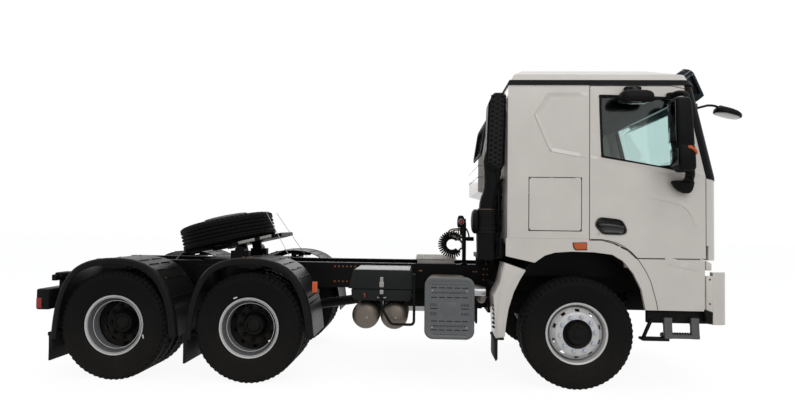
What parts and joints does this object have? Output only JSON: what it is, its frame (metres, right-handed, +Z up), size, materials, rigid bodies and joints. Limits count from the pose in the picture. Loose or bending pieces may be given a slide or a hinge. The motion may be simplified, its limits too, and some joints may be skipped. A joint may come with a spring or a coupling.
{
  "type": "truck tractor unit",
  "caption": "Three-axle cab-over truck tractor with a tilting cab, opening doors, a tilting fifth wheel that carries the spare wheel, and steered front wheels.",
  "frame": {"origin": "centre of the bounding box on the ground", "axes": "+X forward, +Y to the vehicle's left, +Z up; the ground is Z = 0"},
  "size_m": [6.9841, 3.13, 3.1518],
  "materials": {
    "cab_paint": "gloss off-white paint",
    "black_plastic": "grained black plastic",
    "chassis_paint": "satin black chassis paint",
    "guard_plastic": "black moulded plastic",
    "glazing": "tinted glass",
    "tyre_rubber": "matte black rubber",
    "rim_paint": "silver-grey paint",
    "engine_iron": "dark cast metal",
    "tank_metal": "dull brushed metal",
    "cover_paint": "grey paint",
    "deck_metal": "worn tread plate",
    "lamp_lens": "moulded lamp lens",
    "box_paint": "dark grey paint",
    "cast_step": "rough cast metal",
    "seat_fabric": "dark woven cloth",
    "dash_plastic": "soft dark plastic",
    "hose_rubber": "black plastic hose",
    "visor_plastic": "smoked plastic"
  },
  "bodies": {
    "chassis": {"frame_rails": "chassis_paint", "crossmembers": "chassis_paint", "front_axle_beam": "chassis_paint", "drive_axles": "chassis_paint", "leaf_springs": "chassis_paint", "engine_block": "engine_iron", "propshafts": "chassis_paint", "mudguards": "guard_plastic", "toolbox": "box_paint", "air_tanks": "tank_metal", "silencer": "tank_metal", "silencer_cover": "cover_paint", "walkway_plate": "deck_metal", "fuel_tank": "tank_metal", "fifth_wheel_base": "chassis_paint", "bumper": "cab_paint", "lamps": "lamp_lens", "steps": "cast_step", "cab_fenders": "cab_paint", "intake_lower": "black_plastic", "hose_mast": "chassis_paint", "curly_hose": "hose_rubber"},
    "cab": {"cab_shell": "cab_paint", "cab_bulge": "cab_paint", "cab_trim": "black_plastic", "arch_panels": "cab_paint", "sun_visor": "visor_plastic", "front_mirror": "black_plastic", "intake_upper": "black_plastic", "dashboard": "dash_plastic", "seats": "seat_fabric", "cab_glass": "glazing"},
    "fifth_wheel": {"coupling_plate": "chassis_paint", "spare_tyre": "tyre_rubber", "spare_rim": "rim_paint"},
    "toolbox_lid": {"toolbox_lid": "box_paint"},
    "tie_rod": {"tie_rod": "chassis_paint"},
    "knuckle_left": {"knuckle_left": "chassis_paint"},
    "wheel_front_left": {"tyre_front_left": "tyre_rubber", "rim_front_left": "rim_paint"},
    "duals_mid_left": {"tyres_mid_left": "tyre_rubber", "rims_mid_left": "rim_paint"},
    "duals_rear_left": {"tyres_rear_left": "tyre_rubber", "rims_rear_left": "rim_paint"},
    "door_left": {"door_panel_left": "cab_paint", "door_glass_left": "glazing", "door_fittings_left": "black_plastic"},
    "locker_left": {"locker_lid_left": "cab_paint"},
    "knuckle_right": {"knuckle_right": "chassis_paint"},
    "wheel_front_right": {"tyre_front_right": "tyre_rubber", "rim_front_right": "rim_paint"},
    "duals_mid_right": {"tyres_mid_right": "tyre_rubber", "rims_mid_right": "rim_paint"},
    "duals_rear_right": {"tyres_rear_right": "tyre_rubber", "rims_rear_right": "rim_paint"},
    "door_right": {"door_panel_right": "cab_paint", "door_glass_right": "glazing", "door_fittings_right": "black_plastic"},
    "locker_right": {"locker_lid_right": "cab_paint"}
  },
  "joints": [
    {"name": "steer_right", "type": "hinge", "parent": "chassis", "child": "knuckle_right", "pos_m": [1.84, -0.88, 0.537], "axis": [0, 0, 1], "range_deg": [-38, 38]},
    {"name": "steer_left", "type": "hinge", "parent": "chassis", "child": "knuckle_left", "pos_m": [1.84, 0.88, 0.537], "axis": [0, 0, 1], "range_deg": [-38, 38]},
    {"name": "tie_rod_pivot", "type": "hinge", "parent": "knuckle_right", "child": "tie_rod", "pos_m": [1.61, -0.88, 0.492], "axis": [0, 0, 1], "range_deg": [-40, 40]},
    {"name": "wheel_front_left_spin", "type": "hinge", "parent": "knuckle_left", "child": "wheel_front_left", "pos_m": [1.84, 1.038, 0.537], "axis": [0, 1, 0], "continuous": true},
    {"name": "duals_mid_left_spin", "type": "hinge", "parent": "chassis", "child": "duals_mid_left", "pos_m": [-1.335, 0.93, 0.537], "axis": [0, 1, 0], "continuous": true},
    {"name": "duals_rear_left_spin", "type": "hinge", "parent": "chassis", "child": "duals_rear_left", "pos_m": [-2.685, 0.93, 0.537], "axis": [0, 1, 0], "continuous": true},
    {"name": "door_left_hinge", "type": "hinge", "parent": "cab", "child": "door_left", "pos_m": [3.014, 1.231, 2], "axis": [0, 0, -1], "range_deg": [0, 75]},
    {"name": "locker_left_hinge", "type": "hinge", "parent": "cab", "child": "locker_left", "pos_m": [1.6135, 1.232, 2.034], "axis": [1, 0, 0], "range_deg": [0, 85]},
    {"name": "wheel_front_right_spin", "type": "hinge", "parent": "knuckle_right", "child": "wheel_front_right", "pos_m": [1.84, -1.038, 0.537], "axis": [0, 1, 0], "continuous": true},
    {"name": "duals_mid_right_spin", "type": "hinge", "parent": "chassis", "child": "duals_mid_right", "pos_m": [-1.335, -0.93, 0.537], "axis": [0, 1, 0], "continuous": true},
    {"name": "duals_rear_right_spin", "type": "hinge", "parent": "chassis", "child": "duals_rear_right", "pos_m": [-2.685, -0.93, 0.537], "axis": [0, 1, 0], "continuous": true},
    {"name": "door_right_hinge", "type": "hinge", "parent": "cab", "child": "door_right", "pos_m": [3.014, -1.231, 2], "axis": [0, 0, 1], "range_deg": [0, 75]},
    {"name": "locker_right_hinge", "type": "hinge", "parent": "cab", "child": "locker_right", "pos_m": [1.6135, -1.232, 2.034], "axis": [-1, 0, 0], "range_deg": [0, 85]},
    {"name": "cab_tilt", "type": "hinge", "parent": "chassis", "child": "cab", "pos_m": [3.08, 0, 1.15], "axis": [0, 1, 0], "range_deg": [0, 50]},
    {"name": "fifth_wheel_tilt", "type": "hinge", "parent": "chassis", "child": "fifth_wheel", "pos_m": [-1.702, 0, 1.25], "axis": [0, 1, 0], "range_deg": [0, 24]},
    {"name": "toolbox_lid_hinge", "type": "hinge", "parent": "chassis", "child": "toolbox_lid", "pos_m": [-0.05, -0.47, 1.116], "axis": [-1, 0, 0], "range_deg": [0, 80]}
  ],
  "couplings": [
    {"joint": "steer_left", "follows": "steer_right", "ratio": 1},
    {"joint": "tie_rod_pivot", "follows": "steer_right", "ratio": -1}
  ]
}
